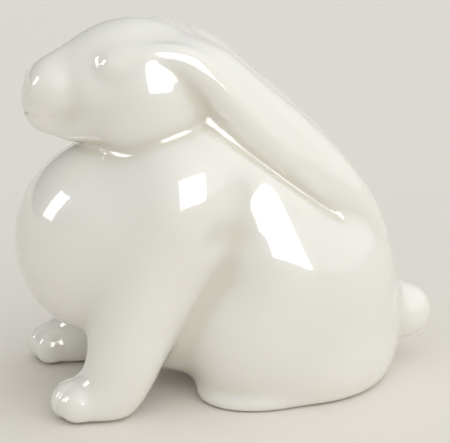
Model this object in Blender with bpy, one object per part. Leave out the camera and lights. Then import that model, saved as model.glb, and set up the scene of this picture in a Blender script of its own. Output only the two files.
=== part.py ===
"""A seated lop-eared rabbit in glazed porcelain, slip-cast as one piece.

The rabbit faces -Y and its left side is +X. It stands on Z = 0 on its two forepaws and the flat
underside of its haunches, with X = 0 as its plane of symmetry and Y = 0 at half of its length.

The animal is carved by numbers: round masses and tapered limbs are blended into one smooth form,
hollows are scooped out of it, and a closed skin is settled onto the result.
"""
import math
from collections import namedtuple

import bmesh
import bpy
import numpy as np

# Sizes in metres
FIGURE_HEIGHT = 0.0907
VENT_BORE = 0.006
VENT_DEPTH = 0.004
VENT_SETBACK = 0.012

# Carve units: the crown stands this many above the paws, and all of the carving below is in them
CROWN = 90.7

# Skin of the solid, in carve units
DRAFT_CELL = 1.5
CARVED_CELL = 0.8
CARVED_ROUNDS = 2
SKIN_TRIANGLES = 9000
VENT_SIDES = 24

Mass = namedtuple("Mass", "centre radii pitch", defaults=(0.0,))

# Trunk: the centre masses lie on the plane of symmetry, the others stand on both sides of it
CHEST = Mass((0, -27.3, 37.6), (20.5, 23, 24))
BACK = Mass((0, -1, 44), (20.5, 27, 27))
BELLY = Mass((0, -9, 22), (17.5, 23.5, 19))
RUMP = Mass((0, 15.2, 24), (26, 26.2, 28))
SEAT = Mass((0, 15.6, 8), (26, 25.8, 18))
NECK = Mass((0, -14.6, 59.4), (15.4, 15, 14))
WITHERS = Mass((6.5, -5, 56.2), (12.6, 12, 12))
HAUNCH = Mass((10.5, 8, 17), (17.5, 20.5, 23))
THIGH = Mass((9.4, 11, 33.4), (16.2, 21.4, 15), -50)
LOIN = Mass((5, 6, 47.8), (12.2, 19.5, 11.2), -42)
SHOULDER = Mass((11.4, -12.8, 54), (14, 12, 11.4))
BREAST = Mass((10, -20, 44), (12.4, 15.4, 14))
ELBOW_POCKET = Mass((29.6, -2.4, 44.4), (5.2, 7.4, 4.4))
HIND_FOOT = Mass((14.2, 4, 1.2), (11, 13.2, 4.6))

# Limbs: knots of x, y, z and radius along each centre line
FORELEG = [
    (15.5, -15, 45, 11), (16.5, -19.5, 36, 10.8), (17.6, -24.1, 25, 9.9),
    (18.4, -27.5, 15, 8.9), (18.6, -29.8, 9, 8), (18.6, -31, 6.5, 7.2)]
FOREPAW = Mass((18.3, -36.2, 4.3), (6.2, 8.8, 5.4))
TOES = [
    Mass((14.9, -40.5, 4), (3.1, 3.6, 4.1)),
    Mass((18.4, -41.4, 4.2), (3.1, 3.8, 4.3)),
    Mass((21.7, -39.7, 3.9), (2.9, 3.6, 4))]
TAIL = [(0, 39.4, 14.6, 6.7), (0, 44.6, 13, 6.6)]

# Head
SKULL = Mass((0, -22, 77.1), (13.9, 17.2, 13))
BRIDGE = Mass((0, -34, 77), (4.8, 9, 7.2))
TEMPLE = Mass((6.4, -19, 76.4), (9.8, 9.8, 9))
CHEEK = Mass((6.8, -18.6, 69.6), (9.2, 12.4, 10.6))
JAW = Mass((0, -28.5, 68.8), (8, 10.6, 6.8))
NOSE = Mass((0, -41, 75), (5.2, 5.7, 6.2))
LIPS = Mass((0, -38.9, 70.4), (4.2, 7.8, 6.1))
MUZZLE_PAD = Mass((2.6, -38.8, 75.8), (4.6, 7.3, 5.5))
CHIN = Mass((0, -35.6, 66.8), (4, 5.6, 4))
EYE_SOCKET = Mass((17.2, -34.9, 86.7), (9, 8.6, 9))
EYE_CORNER = Mass((17.2, -24.8, 83.2), (2.2, 2, 2))
EYE = Mass((9.4, -27.4, 82.6), (2.6, 3, 2.4))

# Ears: a broad back, a rolled upper edge and the hollow under it, which stops at a ledge on the
# shoulder. The ledge faces LEDGE_UP, at LEDGE_HEIGHT along it.
EAR_BACK = [
    (7, -20, 80, 7), (7, -12.6, 80.2, 7.2), (7, -6, 77.8, 7.2), (7.2, -1.5, 74.3, 7.1),
    (7.2, 3, 70.1, 7), (7.2, 10, 63.7, 7.1), (7.2, 18.1, 55.5, 7.2), (7.2, 24.5, 48.5, 6.8),
    (7.2, 30.2, 42.3, 5.3), (6.8, 34.2, 37.4, 3.2)]
EAR_ROLL = [
    (10.6, -24.8, 84.2, 1.5), (12.2, -18.2, 85.2, 2), (13, -12.4, 84, 2.4), (13.2, -8.4, 81, 2.8),
    (13, -4.4, 76.6, 3), (12.7, 0, 71.2, 3.2), (12.4, 5, 65.4, 3.4), (11.9, 11, 59.4, 3.6),
    (11.4, 17, 53, 3.6), (10.7, 22.6, 46.6, 3.2), (9.8, 27.8, 40.2, 2.4)]
EAR_HOLLOW = [
    (17.4, -13, 72.5, 6), (18.5, -8.2, 70, 6.3), (19.8, -4, 67.5, 6.2), (20.2, 0, 64.9, 6),
    (19.5, 5, 60, 5.4), (18.6, 10.5, 55.3, 4.6), (17.9, 15, 51.6, 3.8), (17.4, 19.5, 47.9, 2.8),
    (17.2, 24, 44.4, 1.8)]
LEDGE_UP = (0, 0.619, 0.785)
LEDGE_HEIGHT = 48.4

# How far two forms flow into each other where they meet
BROAD = 14
FULL = 10
SOFT = 6
CLOSE = 3.5
TIGHT = 2
LIP = 1.6
FOOT_EDGE = 2.4

CURVE_STEPS = 4
SLOPE_STEP = 0.02
SETTLE_ROUNDS = 3
SKIN_PASSES = 2
LONGEST_MOVE = 1.5


def join(first, second, blend):
    """Union of two forms with a fillet about as wide as the blend."""
    overlap = np.maximum(blend - np.abs(first - second), 0) / blend
    return np.minimum(first, second) - overlap * overlap * overlap * blend / 6


def scoop(form, cutter, blend):
    """The form with the cutter taken away, its edge rounded by the blend."""
    return -join(-form, cutter, blend)


def mass(points, shape):
    """Distance to an ellipsoid, pitched about X in degrees."""
    x, y, z = (points - np.array(shape.centre, float)).T
    cosine, sine = math.cos(math.radians(shape.pitch)), math.sin(math.radians(shape.pitch))
    y, z = cosine * y + sine * z, cosine * z - sine * y
    wide, long, tall = shape.radii
    reach = np.sqrt((x / wide) ** 2 + (y / long) ** 2 + (z / tall) ** 2)
    slope = np.sqrt((x / wide ** 2) ** 2 + (y / long ** 2) ** 2 + (z / tall ** 2) ** 2)
    return reach * (reach - 1) / np.maximum(slope, 1e-9)


def centre_line(knots):
    """Smooth path through the knots, with each point's radius as its fourth value."""
    knots = np.array(knots, float)
    ends = np.vstack([2 * knots[0] - knots[1], knots, 2 * knots[-1] - knots[-2]])
    path = []
    for before, start, stop, after in zip(ends, ends[1:], ends[2:], ends[3:]):
        for share in np.arange(CURVE_STEPS) / CURVE_STEPS:
            path.append(start + 0.5 * share * (
                stop - before
                + share * (2 * before - 5 * start + 4 * stop - after)
                + share * share * (3 * start - before - 3 * stop + after)))
    path.append(knots[-1])
    return np.array(path)


def limb(points, knots):
    """Distance to a chain of tapered, round-ended lengths along the knots' path.

    Beyond the widest blend the distance to the box around the limb does as well.
    """
    path = centre_line(knots)
    thickest = path[:, 3].max()
    low, high = path[:, :3].min(0) - thickest, path[:, :3].max(0) + thickest
    outside = np.maximum(np.maximum(low - points, points - high), 0)
    distance = np.sqrt((outside * outside).sum(1))
    close = distance < BROAD
    points = points[close]
    nearest = np.full(len(points), 1e9)
    for start, stop in zip(path, path[1:]):
        run = stop[:3] - start[:3]
        length = math.sqrt(run @ run)
        taper = start[3] - stop[3]
        lean = taper / math.sqrt(max(length * length - taper * taper, 1e-6))
        offset = points - start[:3]
        along = (offset * run).sum(1) / length
        across = np.sqrt(np.maximum((offset * offset).sum(1) - along * along, 0))
        share = np.clip((along - across * lean) / length, 0, 1)
        gap = np.sqrt((along - share * length) ** 2 + across * across)
        nearest = np.minimum(nearest, gap - start[3] + share * taper)
    distance[close] = nearest
    return distance


def front(points, folded):
    """Chest, back, belly, neck, breast and withers."""
    form = join(mass(points, CHEST), mass(points, BACK), BROAD)
    form = join(form, mass(points, BELLY), FULL)
    form = join(form, mass(points, NECK), FULL)
    form = join(form, mass(folded, BREAST), BROAD)
    return join(form, mass(folded, WITHERS), SOFT)


def rear(points, folded):
    """Rump, and the haunches with the loins above them and the hind feet below."""
    rump = join(mass(points, RUMP), mass(points, SEAT), BROAD)
    haunch = join(mass(folded, HAUNCH), mass(folded, THIGH), FULL)
    haunch = join(haunch, mass(folded, LOIN), BROAD)
    return join(join(rump, haunch, CLOSE), mass(folded, HIND_FOOT), SOFT)


def foreleg(folded):
    """Shoulder, leg and paw with its toes."""
    paw = mass(folded, FOREPAW)
    for toe in TOES:
        paw = join(paw, mass(folded, toe), TIGHT)
    leg = join(limb(folded, FORELEG), paw, SOFT)
    return join(leg, mass(folded, SHOULDER), BROAD)


def head(points, folded):
    """Skull, temples, cheeks, jaw and muzzle, with a closed eye in a soft socket."""
    form = join(mass(points, SKULL), mass(folded, TEMPLE), CLOSE)
    form = join(form, mass(folded, CHEEK), SOFT)
    form = join(form, mass(points, JAW), SOFT)
    muzzle = join(mass(points, NOSE), mass(points, LIPS), SOFT)
    muzzle = join(muzzle, mass(folded, MUZZLE_PAD), TIGHT)
    muzzle = join(muzzle, mass(points, CHIN), TIGHT)
    form = join(form, muzzle, CLOSE)
    form = join(form, mass(points, BRIDGE), SOFT)
    form = scoop(form, mass(folded, EYE_SOCKET), SOFT)
    form = scoop(form, mass(folded, EYE_CORNER), CLOSE)
    return join(form, mass(folded, EYE), CLOSE)


def ears(points, folded):
    """Both ears' backs, grown together along the middle, and their rolled edges."""
    other_side = points * np.array([-1.0, 1.0, 1.0])
    backs = join(limb(points, EAR_BACK), limb(other_side, EAR_BACK), BROAD)
    return join(backs, limb(folded, EAR_ROLL), SOFT)


def ear_hollow(folded):
    """Groove under the ear's roll, with a ledge at the ear's lower edge for its floor."""
    above = folded @ np.array(LEDGE_UP) - LEDGE_HEIGHT
    return scoop(limb(folded, EAR_HOLLOW), above, CLOSE)


def rabbit(points):
    """Distance from points to the whole figure, in carve units, below zero inside it."""
    folded = np.column_stack([np.abs(points[:, 0]), points[:, 1:]])
    form = join(front(points, folded), foreleg(folded), FULL)
    form = join(form, rear(points, folded), SOFT)
    form = scoop(form, mass(folded, ELBOW_POCKET), SOFT)
    form = join(form, limb(points, TAIL), SOFT)
    form = scoop(form, ear_hollow(folded), LIP)
    skull = head(points, folded)
    form = join(form, skull, TIGHT)
    form = join(form, join(skull, ears(points, folded), CLOSE), CLOSE)
    return scoop(form, points[:, 2], FOOT_EDGE)


def settle(points, form):
    """Points moved onto the form's surface, along the slope of the distance to it."""
    for _ in range(SETTLE_ROUNDS):
        height = form(points)
        rise = np.column_stack([
            (form(points + axis) - height) / SLOPE_STEP for axis in np.eye(3) * SLOPE_STEP])
        move = rise * (height / np.maximum((rise * rise).sum(1), 1e-3))[:, None]
        length = np.sqrt((move * move).sum(1))
        points = points - move * np.minimum(1, LONGEST_MOVE / np.maximum(length, 1e-9))[:, None]
    return points


def add_ball(bm, centre, radii, pitch=0.0):
    """A ball pressed to three radii, for the rough block."""
    ball = bmesh.ops.create_icosphere(bm, subdivisions=3, radius=1)["verts"]
    bmesh.ops.scale(bm, vec=radii, verts=ball)
    cosine, sine = math.cos(math.radians(pitch)), math.sin(math.radians(pitch))
    for vert in ball:
        x, y, z = vert.co
        vert.co = (x + centre[0], cosine * y - sine * z + centre[1], sine * y + cosine * z + centre[2])


def rough_block():
    """Overlapping balls for every mass and limb, as one mesh object in carve units."""
    bm = bmesh.new()
    middle = [CHEST, BACK, BELLY, RUMP, SEAT, NECK, SKULL, BRIDGE, JAW, NOSE, LIPS, CHIN]
    paired = [
        BREAST, WITHERS, HAUNCH, THIGH, LOIN, SHOULDER, HIND_FOOT, FOREPAW, CHEEK, TEMPLE,
        MUZZLE_PAD] + TOES
    for shape in middle:
        add_ball(bm, shape.centre, shape.radii, shape.pitch)
    for side in (1, -1):
        for shape in paired:
            x, y, z = shape.centre
            add_ball(bm, (side * x, y, z), shape.radii, shape.pitch)
        for knots in (FORELEG, TAIL, EAR_BACK, EAR_ROLL):
            for x, y, z, radius in centre_line(knots):
                add_ball(bm, (side * x, y, z), (radius, radius, radius))
    mesh = bpy.data.meshes.new("rabbit")
    bm.to_mesh(mesh)
    bm.free()
    block = bpy.data.objects.new("rabbit", mesh)
    bpy.context.scene.collection.objects.link(block)
    return block


def take_modifiers(obj):
    """Replaces the object's mesh with what its modifiers make of it."""
    depsgraph = bpy.context.evaluated_depsgraph_get()
    old = obj.data
    mesh = bpy.data.meshes.new_from_object(obj.evaluated_get(depsgraph))
    obj.modifiers.clear()
    obj.data = mesh
    bpy.data.meshes.remove(old)
    mesh.name = obj.name


def even_skin(obj, cell):
    """Wraps the object in one closed skin of even cells."""
    remesh = obj.modifiers.new("skin", "REMESH")
    remesh.mode = "VOXEL"
    remesh.voxel_size = cell
    take_modifiers(obj)


def settle_skin(obj):
    """Moves every vertex of the skin onto the figure's surface, evening out the cells in between."""
    mesh = obj.data
    flat = np.empty(len(mesh.vertices) * 3)
    for _ in range(SKIN_PASSES):
        even = obj.modifiers.new("even", "SMOOTH")
        even.factor = 0.5
        even.iterations = 2
        take_modifiers(obj)
        mesh = obj.data
        mesh.vertices.foreach_get("co", flat)
        mesh.vertices.foreach_set("co", settle(flat.reshape(-1, 3), rabbit).ravel())
        mesh.update()


def thin_skin(obj, triangles):
    """Drops triangles where the surface bends least."""
    triangulate = obj.modifiers.new("triangles", "TRIANGULATE")
    triangulate.quad_method = "SHORTEST_DIAGONAL"
    take_modifiers(obj)
    thin = obj.modifiers.new("thin", "DECIMATE")
    thin.ratio = triangles / len(obj.data.polygons)
    take_modifiers(obj)


def stand(obj):
    """Brings the carving to its real size, centred on the origin and standing on Z = 0."""
    mesh = obj.data
    flat = np.empty(len(mesh.vertices) * 3)
    mesh.vertices.foreach_get("co", flat)
    points = flat.reshape(-1, 3)
    low, high = points.min(0), points.max(0)
    base = np.array([(low[0] + high[0]) / 2, (low[1] + high[1]) / 2, low[2]])
    mesh.vertices.foreach_set("co", ((points - base) * (FIGURE_HEIGHT / CROWN)).ravel())
    mesh.update()


def drill_vent(obj):
    """Blind hole under the haunches, which lets the hollow cast breathe as it is fired."""
    bm = bmesh.new()
    bmesh.ops.create_cone(
        bm, cap_ends=True, segments=VENT_SIDES, radius1=VENT_BORE / 2, radius2=VENT_BORE / 2,
        depth=2 * VENT_DEPTH)
    mesh = bpy.data.meshes.new("vent_cutter")
    bm.to_mesh(mesh)
    bm.free()
    cutter = bpy.data.objects.new("vent_cutter", mesh)
    cutter.location = (0, VENT_SETBACK, 0)
    cutter.hide_render = True
    cutter.display_type = "WIRE"
    bpy.context.scene.collection.objects.link(cutter)
    cut = obj.modifiers.new("vent", "BOOLEAN")
    cut.operation = "DIFFERENCE"
    cut.object = cutter


def porcelain():
    """Warm white glaze."""
    material = bpy.data.materials.new("porcelain")
    material.use_nodes = True
    shader = material.node_tree.nodes["Principled BSDF"]
    shader.inputs["Base Color"].default_value = (0.83, 0.82, 0.77, 1)
    shader.inputs["Roughness"].default_value = 0.08
    shader.inputs["Metallic"].default_value = 0.0
    return material


def main():
    for obj in list(bpy.data.objects):
        bpy.data.objects.remove(obj)
    figure = rough_block()
    even_skin(figure, DRAFT_CELL)
    settle_skin(figure)
    for _ in range(CARVED_ROUNDS):
        even_skin(figure, CARVED_CELL)
        settle_skin(figure)
    thin_skin(figure, SKIN_TRIANGLES)
    stand(figure)
    figure.data.materials.append(porcelain())
    figure.data.shade_smooth()
    drill_vent(figure)


main()
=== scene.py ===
"""A seated lop-eared rabbit in glazed porcelain, on a pale studio sweep.

The frame holds the rabbit as one solid. The skin that is seen is wrapped around that solid in cells
of 0.6 mm and settled onto the same carving with its fine relief, so that the glaze mirrors the lamps
without facets.
"""

import math
from collections import namedtuple

import bmesh
import bpy
import numpy as np
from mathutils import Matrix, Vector


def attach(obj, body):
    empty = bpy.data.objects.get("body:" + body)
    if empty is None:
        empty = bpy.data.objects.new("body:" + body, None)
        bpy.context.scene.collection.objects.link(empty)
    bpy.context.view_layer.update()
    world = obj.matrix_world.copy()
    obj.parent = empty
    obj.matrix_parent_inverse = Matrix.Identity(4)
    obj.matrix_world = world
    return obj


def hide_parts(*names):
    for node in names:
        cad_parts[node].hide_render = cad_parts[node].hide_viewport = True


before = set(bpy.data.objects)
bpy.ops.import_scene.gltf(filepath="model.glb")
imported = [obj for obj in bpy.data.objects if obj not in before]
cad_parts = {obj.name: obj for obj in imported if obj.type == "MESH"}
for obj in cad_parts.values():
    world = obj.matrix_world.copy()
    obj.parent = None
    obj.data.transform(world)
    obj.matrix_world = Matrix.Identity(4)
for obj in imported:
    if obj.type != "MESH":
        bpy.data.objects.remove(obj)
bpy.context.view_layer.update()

# All of the carving is in carve units, of one millimetre each
METRES = 0.001

Mass = namedtuple("Mass", "centre radii pitch", defaults=(0.0,))

# Trunk: the centre masses lie on the plane of symmetry, the others stand on both sides of it
CHEST = Mass((0, -27.3, 37.6), (20.5, 23, 24))
BACK = Mass((0, -1, 44), (20.5, 27, 27))
BELLY = Mass((0, -9, 22), (17.5, 23.5, 19))
RUMP = Mass((0, 15.2, 24), (26, 26.2, 28))
SEAT = Mass((0, 15.6, 8), (26, 25.8, 18))
NECK = Mass((0, -14.6, 59.4), (15.4, 15, 14))
WITHERS = Mass((6.5, -5, 56.2), (12.6, 12, 12))
HAUNCH = Mass((10.5, 8, 17), (17.5, 20.5, 23))
THIGH = Mass((9.4, 11, 33.4), (16.2, 21.4, 15), -50)
LOIN = Mass((5, 6, 47.8), (12.2, 19.5, 11.2), -42)
SHOULDER = Mass((11.4, -12.8, 54), (14, 12, 11.4))
BREAST = Mass((10, -20, 44), (12.4, 15.4, 14))
ELBOW_POCKET = Mass((29.6, -2.4, 44.4), (5.2, 7.4, 4.4))
HIND_FOOT = Mass((14.2, 4, 1.2), (11, 13.2, 4.6))

# Limbs: knots of x, y, z and radius along each centre line
FORELEG = [
    (15.5, -15, 45, 11), (16.5, -19.5, 36, 10.8), (17.6, -24.1, 25, 9.9),
    (18.4, -27.5, 15, 8.9), (18.6, -29.8, 9, 8), (18.6, -31, 6.5, 7.2)]
FOREPAW = Mass((18.3, -36.2, 4.3), (6.2, 8.8, 5.4))
TOES = [
    Mass((14.9, -40.5, 4), (3.1, 3.6, 4.1)),
    Mass((18.4, -41.4, 4.2), (3.1, 3.8, 4.3)),
    Mass((21.7, -39.7, 3.9), (2.9, 3.6, 4))]
TAIL = [(0, 39.4, 14.6, 6.7), (0, 44.6, 13, 6.6)]

# Head
SKULL = Mass((0, -22, 77.1), (13.9, 17.2, 13))
BRIDGE = Mass((0, -34, 77), (4.8, 9, 7.2))
TEMPLE = Mass((6.4, -19, 76.4), (9.8, 9.8, 9))
CHEEK = Mass((6.8, -18.6, 69.6), (9.2, 12.4, 10.6))
JAW = Mass((0, -28.5, 68.8), (8, 10.6, 6.8))
NOSE = Mass((0, -41, 75), (5.2, 5.7, 6.2))
LIPS = Mass((0, -38.9, 70.4), (4.2, 7.8, 6.1))
MUZZLE_PAD = Mass((2.6, -38.8, 75.8), (4.6, 7.3, 5.5))
CHIN = Mass((0, -35.6, 66.8), (4, 5.6, 4))
EYE_SOCKET = Mass((17.2, -34.9, 86.7), (9, 8.6, 9))
EYE_CORNER = Mass((17.2, -24.8, 83.2), (2.2, 2, 2))
EYE = Mass((9.4, -27.4, 82.6), (2.6, 3, 2.4))

# Ears: a broad back, a rolled upper edge and the hollow under it, which stops at a ledge on the
# shoulder. The ledge faces LEDGE_UP, at LEDGE_HEIGHT along it.
EAR_BACK = [
    (7, -20, 80, 7), (7, -12.6, 80.2, 7.2), (7, -6, 77.8, 7.2), (7.2, -1.5, 74.3, 7.1),
    (7.2, 3, 70.1, 7), (7.2, 10, 63.7, 7.1), (7.2, 18.1, 55.5, 7.2), (7.2, 24.5, 48.5, 6.8),
    (7.2, 30.2, 42.3, 5.3), (6.8, 34.2, 37.4, 3.2)]
EAR_ROLL = [
    (10.6, -24.8, 84.2, 1.5), (12.2, -18.2, 85.2, 2), (13, -12.4, 84, 2.4), (13.2, -8.4, 81, 2.8),
    (13, -4.4, 76.6, 3), (12.7, 0, 71.2, 3.2), (12.4, 5, 65.4, 3.4), (11.9, 11, 59.4, 3.6),
    (11.4, 17, 53, 3.6), (10.7, 22.6, 46.6, 3.2), (9.8, 27.8, 40.2, 2.4)]
EAR_HOLLOW = [
    (17.4, -13, 72.5, 6), (18.5, -8.2, 70, 6.3), (19.8, -4, 67.5, 6.2), (20.2, 0, 64.9, 6),
    (19.5, 5, 60, 5.4), (18.6, 10.5, 55.3, 4.6), (17.9, 15, 51.6, 3.8), (17.4, 19.5, 47.9, 2.8),
    (17.2, 24, 44.4, 1.8)]
LEDGE_UP = (0, 0.619, 0.785)
LEDGE_HEIGHT = 48.4

# How far two forms flow into each other where they meet
BROAD = 14
FULL = 10
SOFT = 6
CLOSE = 3.5
TIGHT = 2
LIP = 1.6
FOOT_EDGE = 2.4

CURVE_STEPS = 4
SLOPE_STEP = 0.02
SETTLE_ROUNDS = 3
LONGEST_MOVE = 1.5


def join(first, second, blend):
    """Union of two forms with a fillet about as wide as the blend."""
    overlap = np.maximum(blend - np.abs(first - second), 0) / blend
    return np.minimum(first, second) - overlap * overlap * overlap * blend / 6


def scoop(form, cutter, blend):
    """The form with the cutter taken away, its edge rounded by the blend."""
    return -join(-form, cutter, blend)


def mass(points, shape):
    """Distance to an ellipsoid, pitched about X in degrees."""
    x, y, z = (points - np.array(shape.centre, float)).T
    cosine, sine = math.cos(math.radians(shape.pitch)), math.sin(math.radians(shape.pitch))
    y, z = cosine * y + sine * z, cosine * z - sine * y
    wide, long, tall = shape.radii
    reach = np.sqrt((x / wide) ** 2 + (y / long) ** 2 + (z / tall) ** 2)
    slope = np.sqrt((x / wide ** 2) ** 2 + (y / long ** 2) ** 2 + (z / tall ** 2) ** 2)
    return reach * (reach - 1) / np.maximum(slope, 1e-9)


def centre_line(knots):
    """Smooth path through the knots, with each point's radius as its fourth value."""
    knots = np.array(knots, float)
    ends = np.vstack([2 * knots[0] - knots[1], knots, 2 * knots[-1] - knots[-2]])
    path = []
    for before, start, stop, after in zip(ends, ends[1:], ends[2:], ends[3:]):
        for share in np.arange(CURVE_STEPS) / CURVE_STEPS:
            path.append(start + 0.5 * share * (
                stop - before
                + share * (2 * before - 5 * start + 4 * stop - after)
                + share * share * (3 * start - before - 3 * stop + after)))
    path.append(knots[-1])
    return np.array(path)


def limb(points, knots):
    """Distance to a chain of tapered, round-ended lengths along the knots' path.

    Beyond the widest blend the distance to the box around the limb does as well.
    """
    path = centre_line(knots)
    thickest = path[:, 3].max()
    low, high = path[:, :3].min(0) - thickest, path[:, :3].max(0) + thickest
    outside = np.maximum(np.maximum(low - points, points - high), 0)
    distance = np.sqrt((outside * outside).sum(1))
    close = distance < BROAD
    points = points[close]
    nearest = np.full(len(points), 1e9)
    for start, stop in zip(path, path[1:]):
        run = stop[:3] - start[:3]
        length = math.sqrt(run @ run)
        taper = start[3] - stop[3]
        lean = taper / math.sqrt(max(length * length - taper * taper, 1e-6))
        offset = points - start[:3]
        along = (offset * run).sum(1) / length
        across = np.sqrt(np.maximum((offset * offset).sum(1) - along * along, 0))
        share = np.clip((along - across * lean) / length, 0, 1)
        gap = np.sqrt((along - share * length) ** 2 + across * across)
        nearest = np.minimum(nearest, gap - start[3] + share * taper)
    distance[close] = nearest
    return distance


def front(points, folded):
    """Chest, back, belly, neck, breast and withers."""
    form = join(mass(points, CHEST), mass(points, BACK), BROAD)
    form = join(form, mass(points, BELLY), FULL)
    form = join(form, mass(points, NECK), FULL)
    form = join(form, mass(folded, BREAST), BROAD)
    return join(form, mass(folded, WITHERS), SOFT)


def rear(points, folded):
    """Rump, and the haunches with the loins above them and the hind feet below."""
    rump = join(mass(points, RUMP), mass(points, SEAT), BROAD)
    haunch = join(mass(folded, HAUNCH), mass(folded, THIGH), FULL)
    haunch = join(haunch, mass(folded, LOIN), BROAD)
    return join(join(rump, haunch, CLOSE), mass(folded, HIND_FOOT), SOFT)


def foreleg(folded):
    """Shoulder, leg and paw with its toes."""
    paw = mass(folded, FOREPAW)
    for toe in TOES:
        paw = join(paw, mass(folded, toe), TIGHT)
    leg = join(limb(folded, FORELEG), paw, SOFT)
    return join(leg, mass(folded, SHOULDER), BROAD)


def head(points, folded):
    """Skull, temples, cheeks, jaw and muzzle, with a closed eye in a soft socket."""
    form = join(mass(points, SKULL), mass(folded, TEMPLE), CLOSE)
    form = join(form, mass(folded, CHEEK), SOFT)
    form = join(form, mass(points, JAW), SOFT)
    muzzle = join(mass(points, NOSE), mass(points, LIPS), SOFT)
    muzzle = join(muzzle, mass(folded, MUZZLE_PAD), TIGHT)
    muzzle = join(muzzle, mass(points, CHIN), TIGHT)
    form = join(form, muzzle, CLOSE)
    form = join(form, mass(points, BRIDGE), SOFT)
    form = scoop(form, mass(folded, EYE_SOCKET), SOFT)
    form = scoop(form, mass(folded, EYE_CORNER), CLOSE)
    return join(form, mass(folded, EYE), CLOSE)


def ears(points, folded):
    """Both ears' backs, grown together along the middle, and their rolled edges."""
    other_side = points * np.array([-1.0, 1.0, 1.0])
    backs = join(limb(points, EAR_BACK), limb(other_side, EAR_BACK), BROAD)
    return join(backs, limb(folded, EAR_ROLL), SOFT)


def ear_hollow(folded):
    """Groove under the ear's roll, with a ledge at the ear's lower edge for its floor."""
    above = folded @ np.array(LEDGE_UP) - LEDGE_HEIGHT
    return scoop(limb(folded, EAR_HOLLOW), above, CLOSE)


def rabbit(points):
    """Distance from points to the whole figure, in carve units, below zero inside it."""
    folded = np.column_stack([np.abs(points[:, 0]), points[:, 1:]])
    form = join(front(points, folded), foreleg(folded), FULL)
    form = join(form, rear(points, folded), SOFT)
    form = scoop(form, mass(folded, ELBOW_POCKET), SOFT)
    form = join(form, limb(points, TAIL), SOFT)
    form = scoop(form, ear_hollow(folded), LIP)
    skull = head(points, folded)
    form = join(form, skull, TIGHT)
    form = join(form, join(skull, ears(points, folded), CLOSE), CLOSE)
    return scoop(form, points[:, 2], FOOT_EDGE)


def settle(points, form):
    """Points moved onto the form's surface, along the slope of the distance to it."""
    for _ in range(SETTLE_ROUNDS):
        height = form(points)
        rise = np.column_stack([
            (form(points + axis) - height) / SLOPE_STEP for axis in np.eye(3) * SLOPE_STEP])
        move = rise * (height / np.maximum((rise * rise).sum(1), 1e-3))[:, None]
        length = np.sqrt((move * move).sum(1))
        points = points - move * np.minimum(1, LONGEST_MOVE / np.maximum(length, 1e-9))[:, None]
    return points


# Fine skin, in carve units
SKIN_CELL = 0.6
SKIN_PASSES = 2
EVENING = 0.5
EVENING_ROUNDS = 2

# How far forward the solid was moved when it was centred
CARVE_FORWARD = 0.46

# Fine relief: each groove is a chain of knots that is first settled onto the plain figure, and its
# edges are rounded by one of two blends
FINE = 0.8
HAIRLINE = 0.5
TOE_GAPS = [
    [(16.6, -44.2, 1.8, 0.15), (16.6, -44.2, 4.6, 0.25), (16.7, -42.4, 7.8, 0.2), (16.8, -40, 9.2, 0.05)],
    [(20.1, -44, 1.8, 0.15), (20.2, -43.8, 4.4, 0.25), (20.1, -42, 7.4, 0.2), (19.9, -39.6, 8.9, 0.05)]]
MOUTH = [
    (0, -46.4, 70.4, 0.35), (2.6, -45.6, 70, 0.35), (4.6, -43.6, 69.6, 0.3), (5.8, -41, 69.4, 0.15)]
LIP_CLEFT = [(0, -47.4, 73.8, 0.2), (0, -47.2, 72.2, 0.3), (0, -46.6, 70.6, 0.3)]
NOSTRIL = [(1.4, -47.2, 76.4, 0.2), (2.6, -46.8, 76, 0.35), (3.6, -46.2, 76.4, 0.2)]

# Vent in the underside
VENT_BORE = 6
VENT_DEPTH = 4
VENT_SETBACK = 12

# Glaze pools and shade is painted in hollows where the skin lies this deep under its own average, bulges
# are lighter, and the foot below this is bare
POOL_SHADE_ROUNDS = 36
POOL_SHADE_SOFTENING = 4
POOL_SHADE_DEPTH = 0.3
FOOT_LEVEL = 0.25

# Colours: glaze over the body, where it pools in hollows with a tint and painted shade, lighter on bulges
# and ridges, bare clay, and studio paper
BODY = ((0.805, 0.79, 0.74, 1), (0.825, 0.81, 0.76, 1))
# Pooled glaze: its tint, made darker still with painted shade
POOLED_AND_SHADED = (0.745, 0.72, 0.625, 1)
# Colour of bulges and ridges, lighter than the body
LIGHTER_ON_RIDGES = (0.85, 0.835, 0.78, 1)
BISQUE = ((0.72, 0.68, 0.60, 1), (0.80, 0.77, 0.70, 1))
PAPER = ((0.79, 0.755, 0.70, 1), (0.81, 0.775, 0.72, 1))

# Sockets of a colour mix, which share their names with the ones for other types
MIX_FIRST = 6
MIX_SECOND = 7
MIX_RESULT = 2

# Studio sweep, in metres and degrees
SWEEP_FLAT = 2.6
SWEEP_CURVE = 0.9
SWEEP_RISE = 60
FLAT_RINGS = 6
CURVE_RINGS = 12
SWEEP_SIDES = 96

# Soft studio light: its side, the room's colour half way and how much it gains towards that side
LIT_FROM = (138, 30)
ROOM = (0.55, 0.52, 0.43)
ROOM_GAIN = (0.79, 0.83, 0.92)

# Windows that the glaze mirrors: azimuth, elevation, half width and half height in degrees
WINDOW_RIGHT = (105, 28, 25, 22)
WINDOW_LEFT = (-4, 24, 7, 12)
LAMP_RADIANCE = 8.0
LAMP_DISTANCE = 1.0

# Viewpoint, by azimuth and elevation in degrees round the aim, and its distance in metres
AZIMUTH = 78
ELEVATION = 20
DISTANCE = 0.65
AIM = (0, -0.00046, 0.0392)
LENS = 218.4
SENSOR = 36
CLIP_NEAR = 0.05
CLIP_FAR = 20


def on_skin(knots):
    """The same knots with their centres settled onto the plain figure."""
    knots = np.array(knots, float)
    return np.column_stack([settle(knots[:, :3], rabbit), knots[:, 3]])


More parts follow.
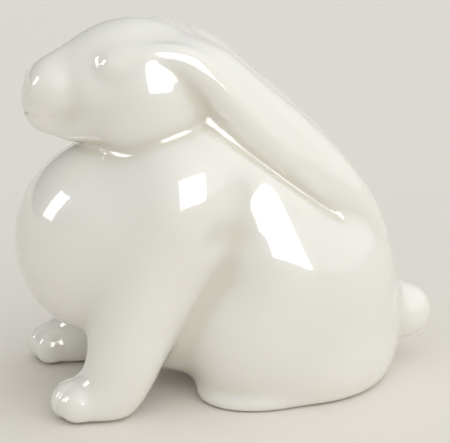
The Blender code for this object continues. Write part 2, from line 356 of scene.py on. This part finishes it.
def relief():
    """Distance function of the figure with its fine relief."""
    hairlines = [on_skin(knots) for knots in [MOUTH, LIP_CLEFT, NOSTRIL]]
    gaps = [on_skin(knots) for knots in TOE_GAPS]

    def distance(points):
        folded = np.column_stack([np.abs(points[:, 0]), points[:, 1:]])
        form = rabbit(points)
        for knots in hairlines:
            form = scoop(form, limb(folded, knots), HAIRLINE)
        for knots in gaps:
            form = scoop(form, limb(folded, knots), FINE)
        off_axis = np.hypot(points[:, 0], points[:, 1] - VENT_SETBACK - CARVE_FORWARD)
        vent = np.maximum(off_axis - VENT_BORE / 2, points[:, 2] - VENT_DEPTH)
        return scoop(form, vent, HAIRLINE)

    return distance


def read_points(mesh):
    """Vertex positions as rows."""
    flat = np.empty(len(mesh.vertices) * 3)
    mesh.vertices.foreach_get("co", flat)
    return flat.reshape(-1, 3)


def write_points(mesh, points):
    """Puts rows of positions back on the vertices."""
    mesh.vertices.foreach_set("co", np.ascontiguousarray(points).ravel())
    mesh.update()


def take_modifiers(obj):
    """Replaces the object's mesh with what its modifiers make of it."""
    depsgraph = bpy.context.evaluated_depsgraph_get()
    old = obj.data
    mesh = bpy.data.meshes.new_from_object(obj.evaluated_get(depsgraph))
    obj.modifiers.clear()
    obj.data = mesh
    bpy.data.meshes.remove(old)
    mesh.name = obj.name


def fine_skin(node):
    """One closed skin of even cells around the CAD solid, settled onto the carving with its relief."""
    skin = bpy.data.objects.new("rabbit_skin", node.data.copy())
    bpy.context.scene.collection.objects.link(skin)
    points = read_points(skin.data) / METRES
    write_points(skin.data, points + np.array([0, CARVE_FORWARD, 0]))
    remesh = skin.modifiers.new("skin", "REMESH")
    remesh.mode = "VOXEL"
    remesh.voxel_size = SKIN_CELL
    take_modifiers(skin)
    form = relief()
    for _ in range(SKIN_PASSES):
        even = skin.modifiers.new("even", "SMOOTH")
        even.factor = EVENING
        even.iterations = EVENING_ROUNDS
        take_modifiers(skin)
        write_points(skin.data, settle(read_points(skin.data), form))
    return skin


def neighbour_mean(values, edges, counts):
    """Each vertex's average over the vertices that share an edge with it."""
    total = np.empty_like(values)
    for axis in range(values.shape[1]):
        column = values[:, axis]
        total[:, axis] = (
            np.bincount(edges[:, 0], weights=column[edges[:, 1]], minlength=len(values))
            + np.bincount(edges[:, 1], weights=column[edges[:, 0]], minlength=len(values)))
    return total / counts[:, None]


def glaze_pool_shade_and_foot(skin):
    """Writes on the skin's vertices how deep each lies in a hollow, where glaze pools and shade is
    painted, or on a bulge, which is lighter, and where the foot is bare.
    """
    mesh = skin.data
    points = read_points(mesh)
    flat = np.empty(len(mesh.edges) * 2, np.int64)
    mesh.edges.foreach_get("vertices", flat)
    edges = flat.reshape(-1, 2)
    counts = np.bincount(edges.ravel(), minlength=len(points)).astype(float)
    relaxed = points
    for _ in range(POOL_SHADE_ROUNDS):
        relaxed = neighbour_mean(relaxed, edges, counts)
    normals = np.empty(len(points) * 3)
    mesh.vertices.foreach_get("normal", normals)
    bulge = ((relaxed - points) * normals.reshape(-1, 3)).sum(1, keepdims=True)
    for _ in range(POOL_SHADE_SOFTENING):
        bulge = neighbour_mean(bulge, edges, counts)
    # Above one half: hollows, pooled tint with painted shade; below: bulges, painted lighter
    pool_and_shade = np.clip(0.5 + 0.5 * bulge[:, 0] / POOL_SHADE_DEPTH, 0, 1)
    mesh.attributes.new("glaze_pool_and_shade", "FLOAT", "POINT").data.foreach_set("value", pool_and_shade.astype(np.float32))
    foot = np.clip(1 - points[:, 2] / FOOT_LEVEL, 0, 1)
    mesh.attributes.new("bare_foot", "FLOAT", "POINT").data.foreach_set("value", foot.astype(np.float32))


def add_node(tree, kind, **inputs):
    """A shader node with some of its inputs set by name."""
    node = tree.nodes.new(kind)
    for name, value in inputs.items():
        node.inputs[name.replace("_", " ")].default_value = value
    return node


def mix_colour(tree, share, first, second):
    """Colour that runs from the first to the second with the share. Each is a socket or a value."""
    mix = tree.nodes.new("ShaderNodeMix")
    mix.data_type = "RGBA"
    for name, value in (("Factor", share), (MIX_FIRST, first), (MIX_SECOND, second)):
        socket = mix.inputs[name]
        if isinstance(value, bpy.types.NodeSocket):
            tree.links.new(value, socket)
        else:
            socket.default_value = value
    return mix.outputs[MIX_RESULT]


def spread(tree, value, low, high, to_low, to_high):
    """A value taken from one range to another, clamped."""
    ranged = add_node(
        tree, "ShaderNodeMapRange", From_Min=low, From_Max=high, To_Min=to_low, To_Max=to_high)
    tree.links.new(value, ranged.inputs["Value"])
    return ranged.outputs["Result"]


def noise(tree, place, scale, detail=3.0, roughness=0.5):
    """Soft noise in the object's own space."""
    cloud = add_node(tree, "ShaderNodeTexNoise", Scale=scale, Detail=detail, Roughness=roughness)
    tree.links.new(place, cloud.inputs["Vector"])
    return cloud.outputs["Fac"]


def add_attribute(tree, name):
    """A vertex attribute of the skin."""
    node = tree.nodes.new("ShaderNodeAttribute")
    node.attribute_name = name
    return node.outputs["Fac"]


def glazed_porcelain():
    """White body under a clear gloss glaze, greyer green with painted shade where it pools in hollows,
    lighter on bulges and ridges, with a bare foot.
    """
    material = bpy.data.materials.new("glazed_porcelain")
    material.use_nodes = True
    tree = material.node_tree
    shader = tree.nodes["Principled BSDF"]
    place = tree.nodes.new("ShaderNodeTexCoord").outputs["Object"]
    pool_and_shade = add_attribute(tree, "glaze_pool_and_shade")
    foot = add_attribute(tree, "bare_foot")

    clouds = noise(tree, place, 34, 2.0)
    body = mix_colour(tree, spread(tree, clouds, 0.35, 0.65, 0, 1), *BODY)
    # Hollows take the pooled glaze's tint, darkened with painted shade
    pooled_and_shaded = mix_colour(tree, spread(tree, pool_and_shade, 0.5, 1, 0, 1), body, POOLED_AND_SHADED)
    # Bulges and ridges are made lighter
    ridges_lighter = mix_colour(tree, spread(tree, pool_and_shade, 0.5, 0.1, 0, 1), pooled_and_shaded, LIGHTER_ON_RIDGES)
    grit = noise(tree, place, 2600, 4.0, 0.7)
    bisque = mix_colour(tree, spread(tree, grit, 0.3, 0.7, 0, 1), *BISQUE)
    tree.links.new(mix_colour(tree, foot, ridges_lighter, bisque), shader.inputs["Base Color"])

    patches = noise(tree, place, 90, 3.0, 0.6)
    glaze_roughness = spread(tree, patches, 0.3, 0.7, 0.16, 0.26)
    roughness = tree.nodes.new("ShaderNodeMix")
    tree.links.new(foot, roughness.inputs["Factor"])
    tree.links.new(glaze_roughness, roughness.inputs["A"])
    roughness.inputs["B"].default_value = 0.85
    tree.links.new(roughness.outputs["Result"], shader.inputs["Roughness"])

    waves = noise(tree, place, 150, 2.0, 0.45)
    peel = add_node(tree, "ShaderNodeBump", Strength=0.12, Distance=0.0003)
    tree.links.new(waves, peel.inputs["Height"])
    grain = add_node(tree, "ShaderNodeBump", Distance=0.00012)
    tree.links.new(grit, grain.inputs["Height"])
    tree.links.new(foot, grain.inputs["Strength"])
    tree.links.new(peel.outputs["Normal"], grain.inputs["Normal"])
    tree.links.new(grain.outputs["Normal"], shader.inputs["Normal"])
    tree.links.new(peel.outputs["Normal"], shader.inputs["Coat Normal"])

    glaze = tree.nodes.new("ShaderNodeMath")
    glaze.operation = "SUBTRACT"
    glaze.inputs[0].default_value = 1
    tree.links.new(foot, glaze.inputs[1])
    tree.links.new(glaze.outputs["Value"], shader.inputs["Coat Weight"])
    shader.inputs["Coat Roughness"].default_value = 0.03
    shader.inputs["Coat IOR"].default_value = 1.52
    shader.inputs["Specular IOR Level"].default_value = 0.3
    shader.inputs["Subsurface Weight"].default_value = 0.25
    shader.inputs["Subsurface Radius"].default_value = (1.0, 0.85, 0.6)
    shader.inputs["Subsurface Scale"].default_value = 0.0035
    return material


def sweep_material():
    """Matt studio paper with a faint mottle."""
    material = bpy.data.materials.new("sweep_paper")
    material.use_nodes = True
    tree = material.node_tree
    shader = tree.nodes["Principled BSDF"]
    place = tree.nodes.new("ShaderNodeTexCoord").outputs["Object"]
    mottle = spread(tree, noise(tree, place, 3, 2.0), 0.3, 0.7, 0, 1)
    tree.links.new(mix_colour(tree, mottle, *PAPER), shader.inputs["Base Color"])
    shader.inputs["Roughness"].default_value = 0.9
    shader.inputs["Specular IOR Level"].default_value = 0.1
    return material


def studio_sweep():
    """Floor that curves up into a low round rim, so that it looks the same from every side."""
    profile = [(SWEEP_FLAT * (step + 1) / FLAT_RINGS, 0.0) for step in range(FLAT_RINGS)]
    for step in range(CURVE_RINGS):
        turn = math.radians(SWEEP_RISE) * (step + 1) / CURVE_RINGS
        profile.append((SWEEP_FLAT + SWEEP_CURVE * math.sin(turn), SWEEP_CURVE * (1 - math.cos(turn))))
    bm = bmesh.new()
    rings = []
    for radius, height in profile:
        rings.append([
            bm.verts.new((
                radius * math.sin(2 * math.pi * side / SWEEP_SIDES),
                -radius * math.cos(2 * math.pi * side / SWEEP_SIDES), height))
            for side in range(SWEEP_SIDES)])
    middle = bm.verts.new((0, 0, 0))
    for side in range(SWEEP_SIDES):
        following = (side + 1) % SWEEP_SIDES
        bm.faces.new((middle, rings[0][side], rings[0][following]))
        for inner, outer in zip(rings, rings[1:]):
            bm.faces.new((inner[side], outer[side], outer[following], inner[following]))
    mesh = bpy.data.meshes.new("studio_sweep")
    bm.to_mesh(mesh)
    bm.free()
    mesh.shade_smooth()
    mesh.materials.append(sweep_material())
    sweep = bpy.data.objects.new("studio_sweep", mesh)
    bpy.context.scene.collection.objects.link(sweep)
    return sweep


def direction(azimuth, elevation):
    """Unit vector from the figure towards an azimuth and elevation in degrees."""
    a, e = math.radians(azimuth), math.radians(elevation)
    return Vector((math.sin(a) * math.cos(e), -math.cos(a) * math.cos(e), math.sin(e)))


def softbox(name, azimuth, elevation, half_wide, half_tall):
    """Lamp that faces the figure, of a size in degrees, and shows only as a reflection in the glaze."""
    lamp = bpy.data.lights.new(name, "AREA")
    lamp.shape = "RECTANGLE"
    lamp.size = 2 * LAMP_DISTANCE * math.tan(math.radians(half_wide))
    lamp.size_y = 2 * LAMP_DISTANCE * math.tan(math.radians(half_tall))
    lamp.energy = LAMP_RADIANCE * math.pi * lamp.size * lamp.size_y
    box = bpy.data.objects.new(name, lamp)
    box.visible_diffuse = False
    towards = direction(azimuth, elevation)
    box.location = Vector(AIM) + towards * LAMP_DISTANCE
    box.rotation_euler = towards.to_track_quat("Z", "Y").to_euler()
    bpy.context.scene.collection.objects.link(box)


def room():
    """A room that brightens smoothly towards one side, and is never less than dark."""
    world = bpy.data.worlds.new("room")
    bpy.context.scene.world = world
    world.use_nodes = True
    tree = world.node_tree
    place = tree.nodes.new("ShaderNodeTexCoord").outputs["Generated"]
    facing = tree.nodes.new("ShaderNodeVectorMath")
    facing.operation = "DOT_PRODUCT"
    tree.links.new(place, facing.inputs[0])
    facing.inputs[1].default_value = direction(*LIT_FROM)
    share = spread(tree, facing.outputs["Value"], -1, 1, 0, 1)
    dim = [max(level - gain, 0) for level, gain in zip(ROOM, ROOM_GAIN)] + [1]
    lit = [level + gain for level, gain in zip(ROOM, ROOM_GAIN)] + [1]
    background = tree.nodes["Background"]
    tree.links.new(mix_colour(tree, share, dim, lit), background.inputs["Color"])
    background.inputs["Strength"].default_value = 1.0


def light():
    """The room, and two windows that the glaze mirrors."""
    room()
    softbox("window_right", *WINDOW_RIGHT)
    softbox("window_left", *WINDOW_LEFT)


def camera():
    """A long lens that looks at the aim."""
    lens = bpy.data.cameras.new("camera")
    lens.lens = LENS
    lens.sensor_width = SENSOR
    lens.clip_start = CLIP_NEAR
    lens.clip_end = CLIP_FAR
    viewer = bpy.data.objects.new("camera", lens)
    towards = direction(AZIMUTH, ELEVATION)
    viewer.location = Vector(AIM) + towards * DISTANCE
    viewer.rotation_euler = towards.to_track_quat("Z", "Y").to_euler()
    bpy.context.scene.collection.objects.link(viewer)
    bpy.context.scene.camera = viewer


def main():
    skin = fine_skin(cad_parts["rabbit"])
    glaze_pool_shade_and_foot(skin)
    points = read_points(skin.data)
    write_points(skin.data, (points - np.array([0, CARVE_FORWARD, 0])) * METRES)
    skin.data.shade_smooth()
    skin.data.materials.clear()
    skin.data.materials.append(glazed_porcelain())
    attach(skin, "root")
    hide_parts("rabbit")
    studio_sweep()
    light()
    camera()
    bpy.context.scene.view_settings.view_transform = "Standard"


main()
